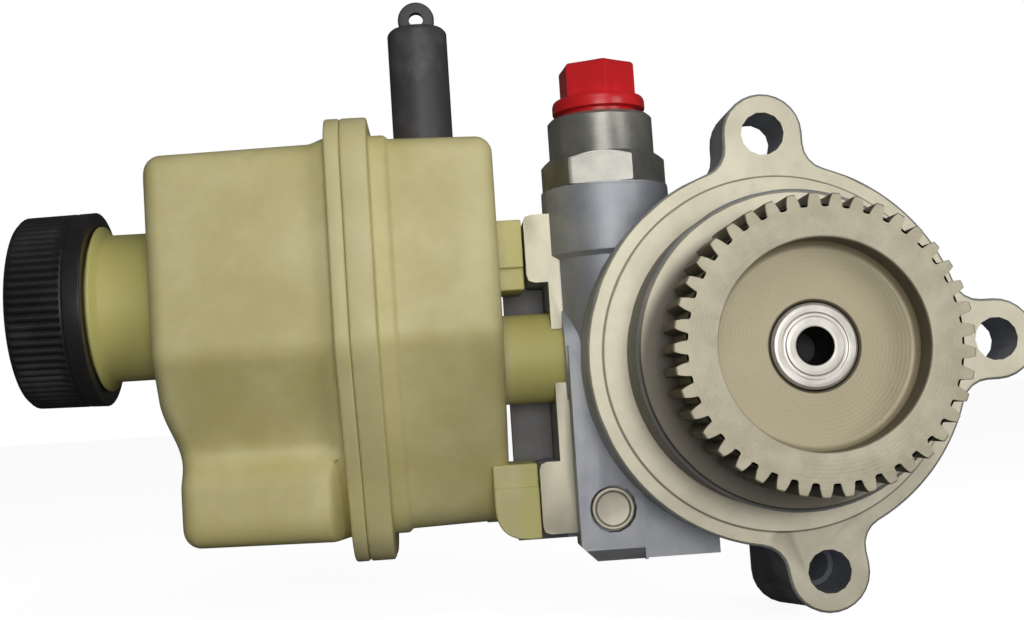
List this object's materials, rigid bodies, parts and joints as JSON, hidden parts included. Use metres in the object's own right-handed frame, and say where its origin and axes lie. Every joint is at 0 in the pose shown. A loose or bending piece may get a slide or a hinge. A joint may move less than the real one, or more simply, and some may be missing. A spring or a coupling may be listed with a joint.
{
  "type": "power steering pump",
  "caption": "Gear driven vane pump for power steering in a cast housing, with a moulded fluid reservoir, screw cap and plugged outlet.",
  "frame": {"origin": "on the drive shaft's axis, in the plane of the mounting flange's front face", "axes": "+Z along the filler neck, towards the filler cap; -Y along the drive shaft, out of the gear; +X along the valve column, towards the outlet"},
  "size_m": [0.1654, 0.1094, 0.2481],
  "materials": {
    "housing_cast": "as-cast, fine grained, machined on the flange and pads",
    "gear_steel": "machined and tempered",
    "shaft_steel": "ground",
    "bearing_steel": "polished",
    "cage_brass": "satin",
    "bush_bronze": "satin",
    "ring_steel": "phosphated",
    "seal_rubber": "matt",
    "cartridge_steel": "ground",
    "valve_steel": "ground",
    "union_steel": "zinc plated",
    "bolt_steel": "zinc plated",
    "plug_steel": "matt, bare",
    "plug_plastic": "moulded",
    "reservoir_plastic": "natural moulded nylon, slightly translucent",
    "cap_plastic": "moulded, ribbed side",
    "nipple_rubber": "matt"
  },
  "bodies": {
    "housing": {"pump_body": "housing_cast", "rear_cover": "housing_cast", "bearing_outer_race": "bearing_steel", "front_bush": "bush_bronze", "rear_bush": "bush_bronze", "snap_ring": "ring_steel", "shaft_seal": "seal_rubber", "cover_o_ring": "seal_rubber", "union_o_ring": "seal_rubber", "suction_o_ring": "seal_rubber", "front_side_plate": "cartridge_steel", "cam_ring": "cartridge_steel", "rear_side_plate": "cartridge_steel", "dowel_pin_1": "cartridge_steel", "dowel_pin_2": "cartridge_steel", "valve_spring": "valve_steel", "outlet_union": "union_steel", "cover_bolt_1": "bolt_steel", "cover_bolt_2": "bolt_steel", "cover_bolt_3": "bolt_steel", "cover_bolt_4": "bolt_steel", "reservoir_bolt_1": "bolt_steel", "reservoir_bolt_2": "bolt_steel", "gallery_plug": "plug_steel", "reservoir_upper_half": "reservoir_plastic", "reservoir_lower_half": "reservoir_plastic"},
    "shaft": {"drive_shaft": "shaft_steel", "drive_gear": "gear_steel", "bearing_inner_race": "bearing_steel", "rotor": "cartridge_steel", "vane_1": "cartridge_steel", "vane_2": "cartridge_steel", "vane_3": "cartridge_steel", "vane_4": "cartridge_steel", "vane_5": "cartridge_steel", "vane_6": "cartridge_steel", "vane_7": "cartridge_steel", "vane_8": "cartridge_steel", "vane_9": "cartridge_steel", "vane_10": "cartridge_steel"},
    "cage": {"bearing_cage": "cage_brass", "bearing_ball_1": "bearing_steel", "bearing_ball_2": "bearing_steel", "bearing_ball_3": "bearing_steel", "bearing_ball_4": "bearing_steel", "bearing_ball_5": "bearing_steel", "bearing_ball_6": "bearing_steel", "bearing_ball_7": "bearing_steel", "bearing_ball_8": "bearing_steel"},
    "cap_seal": {"cap_gasket": "seal_rubber"},
    "cap": {"filler_cap": "cap_plastic"},
    "spool": {"valve_spool": "valve_steel"},
    "port_plug": {"outlet_plug": "plug_plastic"},
    "rubber_cap": {"nipple_cap": "nipple_rubber"}
  },
  "joints": [
    {"name": "shaft_spin", "type": "hinge", "parent": "housing", "child": "shaft", "pos_m": [0, -0.0069, 0], "axis": [0, 1, 0], "continuous": true},
    {"name": "cage_spin", "type": "hinge", "parent": "housing", "child": "cage", "pos_m": [0, -0.0069, 0], "axis": [0, 1, 0], "continuous": true},
    {"name": "cap_lift", "type": "slide", "parent": "housing", "child": "cap_seal", "axis": [0, 0, 1], "range_m": [0, 0.0151]},
    {"name": "cap_turn", "type": "hinge", "parent": "cap_seal", "child": "cap", "pos_m": [0.0233, 0.035, 0.1667], "axis": [0, 0, 1], "range_deg": [0, 1080]},
    {"name": "spool_slide", "type": "slide", "parent": "housing", "child": "spool", "axis": [-1, 0, 0], "range_m": [0, 0.004], "stiffness_N_per_m": 1500, "springref_m": -0.003, "deforming": ["valve_spring"]},
    {"name": "plug_pull", "type": "slide", "parent": "housing", "child": "port_plug", "axis": [1, 0, 0], "range_m": [0, 0.012]},
    {"name": "nipple_cap_pull", "type": "slide", "parent": "housing", "child": "rubber_cap", "axis": [1, 0, 0], "range_m": [0, 0.032]}
  ],
  "couplings": [
    {"joint": "cage_spin", "follows": "shaft_spin", "ratio": 0.38753},
    {"joint": "cap_lift", "follows": "cap_turn", "m_per_rad": 0.00079577}
  ]
}
